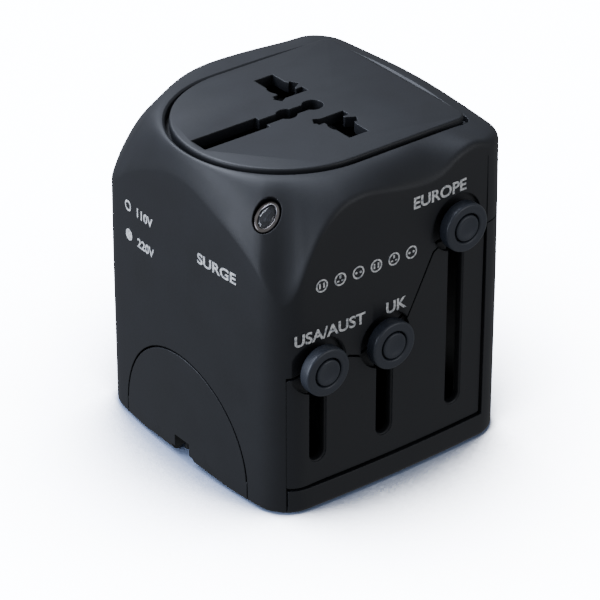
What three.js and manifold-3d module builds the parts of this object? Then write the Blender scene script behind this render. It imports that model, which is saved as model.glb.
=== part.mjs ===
// Universal travel adapter: a hand-sized plug converter with a multi-standard socket on top, three
// sliders on the front that push out American, British and European pins through the base, a British
// earth pin folding out of the base, and an arched flap on the left side that widens the base for it.
// Millimetres, +Z up. Origin: centre of the base, on the plane the base stands on. The sliders face -Y.
import * as THREE from "three";
import { ParametricGeometry } from "three/addons/geometries/ParametricGeometry.js";
import { mergeVertices } from "three/addons/utils/BufferGeometryUtils.js";
import Module from "manifold-3d";

// Casing
const WIDTH = 60;
const DEPTH = 60;
const HEIGHT = 68;
const CORNER = 6.5;
const SIDE_BOW = 2.4;
const FRONT_BOW = 1.0;
const WALL = 2.0;
const FLOOR = 2.2;
const FOOT_ROUND = 1.4;
const SEAM_Z = 48.5;
const GAP = 0.3;
const BOSS_RADIUS = 2.5;
const BOSS_SPOTS = [[-24.3, -23], [24.3, -23], [24.3, 23], [-24.3, 23]];
const PANEL_LEFT = -25.2;
const PANEL_RIGHT = 21.5;
const SILL = 5.6;

// Shoulder round the socket plate: level at the plate, and falling outwards to a crease on the walls.
// Crease heights go by the distance from the left wall along the front (or the back) of the casing.
const RIM_Z = 67.2;
const LEFT_CREST = 63.4;
const CREASE = [
  [0, 53.0], [2.5, 48.0], [4.5, 50.0], [9, 59.3], [15, 64.0], [22, 64.6],
  [34, 62.9], [41, 63.2], [45, 65.2], [50, 65.8], [60, 65.5],
];
const BACK_CREASE = [[0, 53.0], [2.5, 52.6], [4.5, 54.0], [9, 58.4], [15, 62.7], [20, 65.2], [27, 66.2], [60, 65.7]];

// Socket plate in the top
const PLATE_X = -5.0;
const PLATE_RADIUS = 21.5;
const PLATE_RIGHT = 23.0;
const PLATE_THICKNESS = 2.2;
const LEDGE = 1.6;
const LEDGE_TOP = HEIGHT - 2.5;
const SOCKET_X = 1.7;
const EARTH_TO_LINE = 22.23;

// Sliders: one column each for American, British and European pins
const US = { x: -19.1, z: 31.9, travel: 19.3 };
const UK = { x: -3.3, z: 31.9, travel: 19.3 };
const EU = { x: 14.0, z: 51.4, travel: 38.6 };
const SLOT_WIDTH = 3.4;
const KNOB_RADIUS = 5.0;
const KNOB_FRONT = -32.6;
const KNOB_BACK = -30.1;
const POCKET_RADIUS = 6.0;
const POCKET_FLOOR = -29.0;
const CARRIAGE_FRONT = -27.2;
const COLLAR_BACK = -25.5;
const SPRING_SEAT = -20.6;
const PANEL_RECESS = 0.6;

// Pins
const US_SPACING = 12.7;
const US_BLADE = [6.3, 1.5];
const US_TWIST = 30;
const UK_SPACING = 22.23;
const UK_PIN = [4.0, 6.35];
const EU_SPACING = 19.0;
const EU_PIN_RADIUS = 2.0;
const EU_NECK = [13.7, 35.3];
const PIN_TIP = 1.8;

// Folding earth pin and arched flap
const EARTH_PIVOT = [UK.x - EARTH_TO_LINE, 4.3];
const EARTH_PIN = [4.0, 8.0];
const EARTH_REACH = 22.7;
const FLAP_AXIS = [-27.6, 2.4];
const FLAP_HALF_WIDTH = 19.7;
const FLAP_SPRING = 2.9;
const FLAP_TOP = 23.8;
const FLAP_THICKNESS = 1.9;
const BARREL_RADIUS = 2.4;

// Indicator window, leaning towards the front
const LENS_LEAN = THREE.MathUtils.degToRad(-25);

const wasm = await Module();
wasm.setup();

const root = new THREE.Group();

const black = (roughness = 0.55) => new THREE.MeshStandardMaterial({ color: 0x24282c, roughness, metalness: 0 });
const grey = () => new THREE.MeshStandardMaterial({ color: 0x33393e, roughness: 0.5, metalness: 0 });
const brass = () => new THREE.MeshStandardMaterial({ color: 0xc9a45c, roughness: 0.35, metalness: 1 });
const nickel = () => new THREE.MeshStandardMaterial({ color: 0xc4c4c0, roughness: 0.28, metalness: 1 });
const steel = () => new THREE.MeshStandardMaterial({ color: 0x9a9c9e, roughness: 0.4, metalness: 1 });
const board = () => new THREE.MeshStandardMaterial({ color: 0x1f5b3a, roughness: 0.6, metalness: 0 });
const blue = () => new THREE.MeshStandardMaterial({ color: 0x1d4f8f, roughness: 0.5, metalness: 0 });
const clear = () => new THREE.MeshStandardMaterial({ color: 0xdfe6ea, roughness: 0.1, metalness: 0 });

// A closed three.js geometry as a solid that can be joined and cut.
function solid(geometry) {
  const bare = geometry.index ? geometry.toNonIndexed() : geometry.clone();
  bare.deleteAttribute("normal");
  bare.deleteAttribute("uv");
  const merged = mergeVertices(bare, 1e-4);
  const corners = [];
  for (let i = 0; i < merged.index.count; i += 3) {
    const [a, b, c] = merged.index.array.slice(i, i + 3);
    if (a !== b && b !== c && c !== a) corners.push(a, b, c);
  }
  return new wasm.Manifold(
    new wasm.Mesh({
      numProp: 3,
      vertProperties: new Float32Array(merged.attributes.position.array),
      triVerts: new Uint32Array(corners),
    }),
  );
}

// Hangs a solid in the scene under its own name and material.
function place(name, body, material, parent = root) {
  const data = body.getMesh();
  const geometry = new THREE.BufferGeometry();
  geometry.setAttribute("position", new THREE.BufferAttribute(data.vertProperties, 3));
  geometry.setIndex(new THREE.BufferAttribute(data.triVerts, 1));
  geometry.computeVertexNormals();
  const mesh = new THREE.Mesh(geometry, material);
  mesh.name = name;
  parent.add(mesh);
  return mesh;
}

function box(x0, x1, y0, y1, z0, z1) {
  const geometry = new THREE.BoxGeometry(x1 - x0, y1 - y0, z1 - z0);
  return solid(geometry.translate((x0 + x1) / 2, (y0 + y1) / 2, (z0 + z1) / 2));
}

function rodX(radius, x0, x1, y, z, sides = 16) {
  const geometry = new THREE.CylinderGeometry(radius, radius, x1 - x0, sides);
  return solid(geometry.rotateZ(-Math.PI / 2).translate((x0 + x1) / 2, y, z));
}

function rodY(radius, y0, y1, x, z, sides = 16) {
  const geometry = new THREE.CylinderGeometry(radius, radius, y1 - y0, sides);
  return solid(geometry.translate(x, (y0 + y1) / 2, z));
}

function rodZ(radius, z0, z1, x, y, sides = 16) {
  const geometry = new THREE.CylinderGeometry(radius, radius, z1 - z0, sides);
  return solid(geometry.rotateX(Math.PI / 2).translate(x, y, (z0 + z1) / 2));
}

function shapeOf(points) {
  return new THREE.Shape(points.map(([u, v]) => new THREE.Vector2(u, v)));
}

// An anticlockwise outline with every edge moved outwards by distance.
function grown(points, distance) {
  return points.map((point, i) => {
    const before = points[(i + points.length - 1) % points.length];
    const after = points[(i + 1) % points.length];
    const normals = [[before, point], [point, after]].map(([[x0, y0], [x1, y1]]) => {
      const length = Math.hypot(x1 - x0, y1 - y0);
      return [(y1 - y0) / length, (x0 - x1) / length];
    });
    const sum = [normals[0][0] + normals[1][0], normals[0][1] + normals[1][1]];
    const scale = distance / (1 + normals[0][0] * normals[1][0] + normals[0][1] * normals[1][1]);
    return [point[0] + sum[0] * scale, point[1] + sum[1] * scale];
  });
}

// A plan outline pushed up from z0 to z1.
function riseZ(points, z0, z1) {
  const geometry = new THREE.ExtrudeGeometry(shapeOf(points), { depth: z1 - z0, bevelEnabled: false });
  return solid(geometry.translate(0, 0, z0));
}

// An outline drawn in X and Z, pushed from y0 to y1.
function runY(points, y0, y1) {
  const geometry = new THREE.ExtrudeGeometry(shapeOf(points), { depth: y1 - y0, bevelEnabled: false });
  return solid(geometry.rotateX(Math.PI / 2).translate(0, y1, 0));
}

// An outline drawn in Y and Z, pushed from x0 to x1.
function runX(points, x0, x1) {
  const geometry = new THREE.ExtrudeGeometry(shapeOf(points), { depth: x1 - x0, bevelEnabled: false });
  return solid(geometry.rotateY(Math.PI / 2).rotateX(Math.PI / 2).translate(x0, 0, 0));
}

// Plan of the casing, moved inwards by inset: a rounded rectangle whose sides swell slightly.
function casingPlan(inset) {
  const a = WIDTH / 2 - inset;
  const b = DEPTH / 2 - inset;
  const r = CORNER - Math.min(inset, CORNER - 1);
  const points = [];
  for (let side = 0; side < 4; side += 1) {
    const [sx, sy] = [[1, 1], [-1, 1], [-1, -1], [1, -1]][side];
    for (let i = 0; i <= 5; i += 1) {
      const angle = THREE.MathUtils.degToRad(side * 90 + i * 18);
      points.push([sx * (a - r) + r * Math.cos(angle), sy * (b - r) + r * Math.sin(angle)]);
    }
    const [nx, ny] = [[0, 1], [-1, 0], [0, -1], [1, 0]][side];
    for (const t of [-0.5, 0, 0.5]) points.push([nx * a - ny * t * (a - r), ny * b + nx * t * (b - r)]);
  }
  return points.map(([x, y]) => [
    x * (1 - (SIDE_BOW / (WIDTH / 2)) * (y / (DEPTH / 2)) ** 2),
    y * (1 - (FRONT_BOW / (DEPTH / 2)) * (x / (WIDTH / 2)) ** 2),
  ]);
}

// D-shaped plan of the socket plate, grown by grow.
function platePlan(grow) {
  const radius = PLATE_RADIUS + grow;
  const right = PLATE_RIGHT + grow;
  const corner = 2.5;
  const points = [];
  for (let i = 0; i <= 18; i += 1) {
    const angle = THREE.MathUtils.degToRad(90 + i * 10);
    points.push([PLATE_X + radius * Math.cos(angle), radius * Math.sin(angle)]);
  }
  for (const [sy, start] of [[-1, 270], [1, 0]]) {
    for (let i = 0; i <= 3; i += 1) {
      const angle = THREE.MathUtils.degToRad(start + i * 30);
      points.push([right - corner + corner * Math.cos(angle), sy * (radius - corner) + corner * Math.sin(angle)]);
    }
  }
  return points;
}

// Height of the crease above a point of the plan.
function creaseHeight(x, y) {
  const along = Math.max(x + WIDTH / 2, 0);
  const table = y > 0 ? BACK_CREASE : CREASE;
  const k = table.findIndex(([d]) => d > along);
  const [d0, z0] = table[Math.max(k - 1, 0)];
  const [d1, z1] = k < 0 ? table[table.length - 1] : table[k];
  const front = d1 > d0 ? z0 + ((z1 - z0) * (along - d0)) / (d1 - d0) : z1;
  const side = THREE.MathUtils.clamp(Math.abs(y) / 24, 0, 1);
  const arch = LEFT_CREST + (CREASE[0][1] - LEFT_CREST) * side ** 1.6;
  const leftWall = along < 4 && Math.abs(y) < 24;
  return leftWall ? arch : front;
}

// Where the shoulder above a point of the plan leaves the socket plate.
function rimPoint(x, y, shrink) {
  const radius = PLATE_RADIUS + 1.6 - shrink;
  const spineX = THREE.MathUtils.clamp(x, PLATE_X, PLATE_RIGHT + 1.6 - radius);
  const length = Math.hypot(x - spineX, y);
  return [spineX + ((x - spineX) * radius) / length, (y * radius) / length];
}

// The whole casing as one body, drawn in by inset, from bottom up to the shoulder lowered by drop.
function casingBody(inset, drop, bottom, foot) {
  const plan = casingPlan(inset);
  const footPlan = casingPlan(inset + foot);
  const midPlan = casingPlan(inset + foot * 0.3);
  const rows = [];
  rows.push(() => [0, 0, bottom]);
  if (foot > 0) {
    rows.push((i) => [...footPlan[i], bottom]);
    rows.push((i) => [...midPlan[i], bottom + foot * 0.3]);
  }
  rows.push((i) => [...plan[i], bottom + foot]);
  for (const t of [1, 0.85, 0.6, 0.3, 0]) {
    rows.push((i) => {
      const [x, y] = plan[i];
      const [rx, ry] = rimPoint(x, y, inset / 2);
      const fall = (RIM_Z - creaseHeight(x, y)) * t ** 1.9;
      return [rx + (x - rx) * t, ry + (y - ry) * t, RIM_Z - drop - fall];
    });
  }
  rows.push(() => [0, 0, RIM_Z - drop]);
  const around = plan.length;
  const geometry = new ParametricGeometry((u, v, target) => {
    const i = Math.round(u * around) % around;
    target.set(...rows[Math.round(v * (rows.length - 1))](i));
  }, around, rows.length - 1);
  return solid(geometry);
}

function union(solids) {
  return solids.reduce((whole, next) => whole.add(next));
}

// A coil spring along Z from z0 to z1.
function coil(radius, wire, turns, z0, z1) {
  const points = [];
  const steps = turns * 8;
  for (let i = 0; i <= steps; i += 1) {
    const angle = (i / 8) * 2 * Math.PI;
    const z = z0 + wire + (z1 - z0 - 2 * wire) * (i / steps);
    points.push(new THREE.Vector3(radius * Math.cos(angle), radius * Math.sin(angle), z));
  }
  const section = new THREE.Shape();
  section.absarc(0, 0, wire, 0, 2 * Math.PI);
  return new THREE.ExtrudeGeometry(section, {
    curveSegments: 4,
    steps,
    bevelEnabled: false,
    extrudePath: new THREE.CatmullRomCurve3(points),
  });
}

// ---- Tools that cut the casing ----

const outer = casingBody(0, 0, 0, FOOT_ROUND);
const cavity = casingBody(WALL, 3, FLOOR, 0);

// Slot for a slider's stem, open through the front wall.
function stemSlot({ x, z, travel }, half) {
  const low = z - travel - 0.1;
  return union([
    box(x - half, x + half, -40, -25, low, z),
    rodY(half, -40, -25, x, low),
    rodY(half, -40, -25, x, z),
  ]);
}

const sliders = [US, UK, EU];
const slots = union(sliders.map((slider) => stemSlot(slider, SLOT_WIDTH / 2)));
const pockets = union(sliders.map(({ x, z }) => rodY(POCKET_RADIUS, -40, POCKET_FLOOR, x, z, 32)));

const panelOutline = [
  [PANEL_LEFT, SILL], [PANEL_RIGHT, SILL], [PANEL_RIGHT, SEAM_Z - 0.4], [10.2, SEAM_Z - 0.4], [8.1, 47.0],
  [1.8, 34.8], [-8.2, 30.2], [-12.0, 31.6], [PANEL_LEFT, 30.4],
];

// The lower casing's share of the walls: the sill under the panel and the right side below the seam.
const lowerShare = [
  [PANEL_LEFT, -2], [50, -2], [50, SEAM_Z - GAP / 2], [PANEL_RIGHT + GAP, SEAM_Z - GAP / 2],
  [PANEL_RIGHT + GAP, SILL - GAP], [PANEL_LEFT, SILL - GAP],
];

// The arch of the flap, seen along X, grown by grow and open at the base.
function archOutline(grow) {
  const points = [[-FLAP_HALF_WIDTH - grow, -2 * grow]];
  for (let i = 0; i <= 16; i += 1) {
    const angle = Math.PI - (i * Math.PI) / 16;
    const y = (FLAP_HALF_WIDTH + grow) * Math.cos(angle);
    points.push([y, FLAP_SPRING + (FLAP_TOP - FLAP_SPRING + grow) * Math.sin(angle)]);
  }
  points.push([FLAP_HALF_WIDTH + grow, -2 * grow]);
  return points.reverse();
}

function neckPlan(grow) {
  const a = EU_NECK[0] / 2 + grow;
  const b = EU_NECK[1] / 2 + grow;
  const corners = [[a, -9.5], [a, 9.5], [2.8, b], [-2.8, b], [-a, 9.5], [-a, -9.5], [-2.8, -b], [2.8, -b]];
  return corners.map(([x, y]) => [EU.x + x, y]);
}

const bladeSlots = [];
for (const side of [-1, 1]) {
  for (const turn of [0, 10, 20, US_TWIST]) {
    const plain = new THREE.BoxGeometry(US_BLADE[0] + 2 * GAP, US_BLADE[1] + 2 * GAP, 8);
    plain.rotateZ(THREE.MathUtils.degToRad(side * turn));
    bladeSlots.push(solid(plain.translate(US.x, (side * US_SPACING) / 2, 0)));
  }
}
const pinSlots = [-1, 1].map((side) => {
  const y = (side * UK_SPACING) / 2;
  return box(UK.x - 2.35, UK.x + 2.35, y - 3.5, y + 3.5, -1, FLOOR + 1);
});
const earthTip = EARTH_PIVOT[0] + EARTH_PIVOT[1] + EARTH_REACH;
const earthGroove = box(-40, earthTip + 0.4, -2.35, 2.35, -1, 8.7);
const flapPinHoles = rodY(0.9, -22.2, 22.2, ...FLAP_AXIS, 12);
const earthAxleHole = rodY(1.3, -5, 5, ...EARTH_PIVOT, 16);

// ---- Casing: a lower tray with the base, the sill and the right side, and a hood over the rest ----

const shell = outer.subtract(cavity);
const panelOpening = runY(grown(panelOutline, GAP), -40, -25);
const insideWalls = casingBody(WALL + GAP, 3.4, 0, 0).intersect(box(-50, 50, -50, 50, -1, SEAM_Z + 0.2));
const bosses = union(BOSS_SPOTS.map(([x, y]) => rodZ(BOSS_RADIUS, 0, 40, x, y)));
const bossBores = union(BOSS_SPOTS.map(([x, y]) => rodZ(1.7, -1, 37, x, y).add(rodZ(1.2, 36, 50, x, y))));
const earthChannel = box(-27.0, earthTip + 1.6, -3.2, 3.2, 0, 9.9);
const base = riseZ(casingPlan(WALL + GAP), 0, FLOOR);
const flapSpace = box(-40, -24.6, -22, 22, -1, 10);

const lowerCasing = shell
  .intersect(runY(lowerShare, -40, 40))
  .add(base)
  .subtract(flapSpace)
  .add(bosses.intersect(insideWalls))
  .add(earthChannel)
  .subtract(union([
    slots, pockets, panelOpening, riseZ(neckPlan(0.35), -1, 4), ...bladeSlots, ...pinSlots,
    earthGroove, earthAxleHole, bossBores,
  ]));
place("lower_casing", lowerCasing, black());

const posts = union(BOSS_SPOTS.map(([x, y]) => rodZ(BOSS_RADIUS, 40.4, 56, x, y)));
const postSpace = insideWalls.add(outer.intersect(box(-50, 50, -50, 50, SEAM_Z + GAP / 2, 80)));
const postBores = union(BOSS_SPOTS.map(([x, y]) => rodZ(1.2, 40, 53, x, y)));
const hingeCheeks = [-1, 1].map((side) => box(-29, -26.3, side > 0 ? 20 : -21.6, side > 0 ? 21.6 : -20, 0.8, 4.4));
const upperCasing = shell
  .subtract(runY(grown(lowerShare, GAP), -40, 40))
  .subtract(riseZ(casingPlan(WALL), -1, FLOOR + 1))
  .add(union(hingeCheeks).intersect(outer))
  .add(posts.intersect(postSpace))
  .subtract(union([
    slots, pockets, panelOpening, postBores, lensSolid(GAP, -6, 6), flapPinHoles,
    runX(archOutline(GAP), -40, -26.3),
    box(PANEL_RIGHT, PANEL_RIGHT + GAP, -40, -28.9, SEAM_Z - 1, 63),
    riseZ(platePlan(0.7), LEDGE_TOP, 80), riseZ(platePlan(-LEDGE), 60, 80),
  ]));
place("upper_casing", upperCasing, black());

// Oval window on the front left shoulder, square to the surface there.
function lensSolid(grow, inner, outerEnd) {
  const long = 3.0 + grow;
  const short = 2.0 + grow;
  const oval = new THREE.CylinderGeometry(1, 1, outerEnd - inner, 24);
  oval.translate(0, (outerEnd + inner) / 2, 0).rotateX(Math.PI / 2).scale(long, short, 1).rotateZ(LENS_LEAN);
  const away = new THREE.Vector3(-0.47, -0.55, 0.69).normalize();
  const across = new THREE.Vector3(away.y, -away.x, 0).normalize();
  const up = new THREE.Vector3().crossVectors(across, away);
  const turn = new THREE.Matrix4().makeBasis(up, across, away).setPosition(-24.0, -20.2, 61.4);
  return solid(oval.applyMatrix4(turn));
}

const panelBlank = riseZ(casingPlan(PANEL_RECESS), 0, 60).subtract(riseZ(casingPlan(WALL), -1, 61));
const panel = panelBlank.intersect(runY(panelOutline, -40, -20)).subtract(slots).subtract(pockets);
place("slider_panel", panel, black());

const poleCrosses = [-1, 1].map((side) => {
  const slanted = new THREE.BoxGeometry(8.4, 1.9, 12).rotateZ(THREE.MathUtils.degToRad(side * 30));
  const low = side > 0 ? 5.6 : -14.9;
  const lowUs = side > 0 ? 5.4 : -7.3;
  return union([
    box(SOCKET_X - 2.25, SOCKET_X + 2.25, low, low + 9.3, 55, 70),
    box(SOCKET_X - 3.6, SOCKET_X + 3.6, lowUs, lowUs + 1.9, 55, 70),
    rodZ(2.7, 55, 70, SOCKET_X, (side * EU_SPACING) / 2, 20),
    solid(slanted.translate(SOCKET_X, side * 7.6, 64)),
  ]);
});
const earthX = SOCKET_X - EARTH_TO_LINE;
const earthAperture = union([
  box(earthX - 4.3, -9.6, -2.3, 2.3, 55, 70),
  box(-10, 3, -1.2, 1.2, 55, 70),
  rodZ(2.1, 55, 70, -4.0, 0, 20),
  rodZ(2.1, 55, 70, 2.2, 0, 20),
]);
const socketPlate = riseZ(platePlan(0), HEIGHT - PLATE_THICKNESS, HEIGHT)
  .add(box(17.8, 20.4, -3, 3, 60.9, HEIGHT - 1))
  .subtract(union([...poleCrosses, earthAperture]));
place("socket_plate", socketPlate, black());

BOSS_SPOTS.forEach(([x, y], i) => {
  const screw = rodZ(1.4, 35.2, 36.7, x, y).add(rodZ(0.9, 36.6, 52, x, y, 10));
  place(`casing_screw_${i + 1}`, screw, steel());
});

place("indicator_lens", lensSolid(0, -2.6, 0.5), clear());

// ---- Socket contacts, bus bars and surge circuit ----

const chassisPlan = riseZ(casingPlan(WALL + 0.4), 44, 45.5)
  .intersect(casingBody(WALL + 0.4, 3.4, 40, 0))
  .intersect(box(-40, 6.3, -40, 40, 40, 50));
const postClearance = union(BOSS_SPOTS.map(([x, y]) => rodZ(BOSS_RADIUS + GAP, 40, 50, x, y)));
const chassis = chassisPlan.subtract(postClearance).subtract(box(earthX - 4.4, earthX + 4.4, -2.4, 2.4, 40, 50));
place("contact_chassis", chassis, grey());

for (const [name, side] of [["line", -1], ["neutral", 1]]) {
  const y = side > 0 ? 5.2 : -15.2;
  const contact = box(SOCKET_X - 4.3, SOCKET_X + 4.3, y, y + 10, 45.9, 59.8)
    .subtract(box(SOCKET_X - 3.7, SOCKET_X + 3.7, y - 1, y + 11, 46.6, 61));
  place(`${name}_socket_contact`, contact, brass());
}
place("line_bus_bar", box(-21, 18, 20.2, 20.9, 14, 43.4), brass());
place("neutral_bus_bar", box(-21, 18, 24.2, 24.9, 14, 43.4), brass());
place("surge_board", box(-20, -9, -24, -5, 46.2, 47.4), board());
place("surge_varistor", rodY(5, -12, -8, -14.5, 52.8, 24), blue());
place("thermal_fuse", rodX(1.6, -19, -10, -17, 49.4), nickel());
place("indicator_led", rodZ(1.5, 47.7, 53, -17, -21, 12), clear());

// ---- Safety shutter under the socket plate ----

const shutter = box(-2.4, 5.8, -15.6, 15.6, 61.3, 63.1).add(box(-16, -2.3, -1.6, 1.6, 61.3, 63.1));
place("socket_shutter", shutter, grey());
const shutterSpring = solid(coil(1.3, 0.25, 6, 6.1, 17.5).rotateY(Math.PI / 2).translate(0, 0, 62.6));
place("shutter_spring", shutterSpring, steel());

// ---- Sliders ----

for (const [name, { x, z }] of [["us", US], ["uk", UK], ["eu", EU]]) {
  const knob = rodY(KNOB_RADIUS, KNOB_FRONT, KNOB_BACK, x, z, 32)
    .add(rodY(1.4, KNOB_BACK - 0.1, CARRIAGE_FRONT - GAP, x, z, 16))
    .subtract(rodY(3.0, -40, KNOB_BACK - 0.6, x, z, 24))
    .subtract(rodY(1.0, -40, -20, x, z, 12));
  place(`${name}_knob`, knob, grey());
  const button = rodY(2.7, KNOB_FRONT - 0.1, KNOB_FRONT + 0.6, x, z, 24)
    .add(rodY(0.7, KNOB_FRONT + 0.5, COLLAR_BACK + 2.3, x, z, 10))
    .add(rodY(1.6, COLLAR_BACK - 0.8, COLLAR_BACK, x, z, 16));
  place(`${name}_button`, button, grey());
  const spring = coil(1.4, 0.22, 4, COLLAR_BACK + 0.1, SPRING_SEAT - 0.2).rotateX(-Math.PI / 2);
  place(`${name}_button_spring`, solid(spring.translate(x, 0, z)), steel());
}

// Arm that carries the knob's stem and its latch bore.
function knobArm({ x, z }, back, low, high) {
  return box(x - 2.5, x + 2.5, CARRIAGE_FRONT, back, low, high).subtract(rodY(2.1, -40, SPRING_SEAT, x, z, 16));
}

const usCarriage = knobArm(US, -9, 28.8, 35.2)
  .add(box(US.x - 4.6, US.x + 4.6, -10, 10, 30.1, 35.2))
  .subtract(union([-1, 1].map((side) => rodZ(1.7, 29, 33.4, US.x, (side * US_SPACING) / 2))));
place("us_carriage", usCarriage, black());
for (const [name, side] of [["front", -1], ["back", 1]]) {
  const y = (side * US_SPACING) / 2;
  const blade = box(
    US.x - US_BLADE[0] / 2, US.x + US_BLADE[0] / 2, y - US_BLADE[1] / 2, y + US_BLADE[1] / 2, PIN_TIP, 29.8,
  );
  place(`us_blade_${name}`, blade.add(rodZ(1.4, 29.7, 33.1, US.x, y)), nickel());
}

const ukCarriage = knobArm(UK, -14.7, 28.8, 35.2)
  .add(box(UK.x - 4.6, UK.x + 4.6, -15.2, 15.2, 30.1, 35.2))
  .subtract(union([-1, 1].map((side) => {
    const y = (side * UK_SPACING) / 2;
    return box(UK.x - 1.6, UK.x + 1.6, y - 2.8, y + 2.8, 29, 33.4);
  })));
place("uk_carriage", ukCarriage, black());
for (const [name, side] of [["front", -1], ["back", 1]]) {
  const y = (side * UK_SPACING) / 2;
  const bar = (a, b, z0, z1) => box(UK.x - a, UK.x + a, y - b, y + b, z0, z1);
  place(`uk_pin_${name}`, bar(UK_PIN[0] / 2, UK_PIN[1] / 2, PIN_TIP, 10.4).add(bar(1.3, 2.5, 10.3, 33.1)), brass());
  place(`uk_pin_sleeve_${name}`, bar(UK_PIN[0] / 2, UK_PIN[1] / 2, 10.7, 29.8).subtract(bar(1.6, 2.8, 9, 31)), black());
}

const euBlock = riseZ(neckPlan(0), 20, 53)
  .subtract(riseZ(neckPlan(-1.6), 24, 60))
  .subtract(box(EU.x - 2.5, EU.x + 2.5, -18, -10, 48.2, 60))
  .add(knobArm(EU, -15, 48.2, 54.6))
  .subtract(union([-1, 1].map((side) => rodZ(1.55, 19, 25, EU.x, (side * EU_SPACING) / 2))));
place("eu_neck", euBlock, black());
for (const [name, side] of [["front", -1], ["back", 1]]) {
  const y = (side * EU_SPACING) / 2;
  const tip = rodZ(EU_PIN_RADIUS, 1.9, 9.7, EU.x, y).add(rodZ(1.0, 0.9, 2.0, EU.x, y));
  place(`eu_pin_${name}`, tip.add(rodZ(1.25, 9.6, 27, EU.x, y, 12)), nickel());
  const sleeve = rodZ(EU_PIN_RADIUS, 10, 19.7, EU.x, y).subtract(rodZ(1.55, 9, 21, EU.x, y));
  place(`eu_pin_sleeve_${name}`, sleeve, black());
}

// ---- Folding earth pin ----

const heel = [];
for (let i = 0; i <= 10; i += 1) {
  const angle = THREE.MathUtils.degToRad(85 + i * 23.5);
  heel.push([3 * Math.cos(angle), 3 * Math.sin(angle)]);
}
const reach = EARTH_PIVOT[1] + EARTH_REACH;
const half = EARTH_PIN[1] / 2;
const earthOutline = [
  [4.7, -half], [reach - 1.6, -half], [reach, -2.6], [reach, 2.6], [reach - 1.6, half], [0.8, half], ...heel,
].map(([u, v]) => [EARTH_PIVOT[0] + u, EARTH_PIVOT[1] + v]);
const earthPin = runY(earthOutline, -EARTH_PIN[0] / 2, EARTH_PIN[0] / 2).subtract(earthAxleHole);
place("earth_pin", earthPin, black());
place("earth_pin_axle", rodY(1.0, -3.1, 3.1, ...EARTH_PIVOT), steel());

// ---- Arched flap ----

const flapSkin = riseZ(casingPlan(0), FLAP_AXIS[1], 30).subtract(riseZ(casingPlan(FLAP_THICKNESS), 0, 31));
const flap = flapSkin
  .intersect(runX(archOutline(0), -40, -20))
  .add(rodY(BARREL_RADIUS, -FLAP_HALF_WIDTH, FLAP_HALF_WIDTH, ...FLAP_AXIS, 24))
  .subtract(box(-28.1, -20, -4.2, 4.2, -1, 10))
  .intersect(outer)
  .subtract(box(-40, -20, -2.35, 2.35, -1, 4.7))
  .subtract(box(-28.9, -20, -2.35, 2.35, -1, 6.8))
  .subtract(box(-40, -20, -3.5, 3.5, -1, FLAP_AXIS[1] - 0.4))
  .subtract(flapPinHoles);
place("base_flap", flap, black());
for (const [name, side] of [["front", -1], ["back", 1]]) {
  const y0 = side > 0 ? 9.5 : -21.0;
  place(`flap_hinge_pin_${name}`, rodY(0.6, y0, y0 + 11.5, ...FLAP_AXIS, 10), steel());
}

export default root;
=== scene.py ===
import math

import bpy
from mathutils import Matrix, Vector


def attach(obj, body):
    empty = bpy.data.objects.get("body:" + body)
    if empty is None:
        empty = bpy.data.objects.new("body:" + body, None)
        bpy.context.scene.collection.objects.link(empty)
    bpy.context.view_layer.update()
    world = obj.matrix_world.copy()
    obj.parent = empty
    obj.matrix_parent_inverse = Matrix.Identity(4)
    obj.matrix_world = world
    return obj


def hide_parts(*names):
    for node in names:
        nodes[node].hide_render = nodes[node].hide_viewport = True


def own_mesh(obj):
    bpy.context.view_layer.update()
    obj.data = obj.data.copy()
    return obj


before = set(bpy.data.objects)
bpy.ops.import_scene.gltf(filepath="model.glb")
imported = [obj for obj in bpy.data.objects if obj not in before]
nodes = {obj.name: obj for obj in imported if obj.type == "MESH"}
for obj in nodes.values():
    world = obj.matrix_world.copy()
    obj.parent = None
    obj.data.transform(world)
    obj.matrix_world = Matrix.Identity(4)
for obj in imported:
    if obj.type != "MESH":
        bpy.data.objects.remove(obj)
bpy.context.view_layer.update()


# ---- Studio ----
# A seamless sheet of white card with the adapter standing on it, under one wide soft box overhead and
# two fill panels. The card glows where nothing stands near, so that it reads as white. Towards the adapter
# ambient occlusion cuts the glow softly: a painted contact shadow, a little blue from the card's base colour.

MM = 0.001
# Degrees round Z from the front wall to the side that the camera stands on and the card faces.
FACING = -37.69


def linear(code):
    """An sRGB hex colour as linear red, green, blue and alpha."""
    channels = [int(code[i:i + 2], 16) / 255 for i in (1, 3, 5)]
    return [c / 12.92 if c <= 0.04045 else ((c + 0.055) / 1.055) ** 2.4 for c in channels] + [1.0]


def add_node(tree, kind, settings, links):
    """One shader node: settings are its own values or its sockets' values, links are socket to source."""
    made = tree.nodes.new(kind)
    for key, value in settings.items():
        if not isinstance(key, str) or key in made.inputs:
            made.inputs[key].default_value = value
        else:
            setattr(made, key, value)
    for key, source in links.items():
        tree.links.new(source, made.inputs[key])
    return made


def new_material(name):
    """An empty material and its output node."""
    made = bpy.data.materials.new(name)
    made.use_nodes = True
    made.node_tree.nodes.clear()
    return made, made.node_tree, made.node_tree.nodes.new("ShaderNodeOutputMaterial")


def mesh_object(name, points, faces):
    """A mesh in millimetres, linked to the scene."""
    data = bpy.data.meshes.new(name)
    data.from_pydata([tuple(p) for p in points], [], faces)
    made = bpy.data.objects.new(name, data)
    bpy.context.scene.collection.objects.link(made)
    return made


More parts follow.
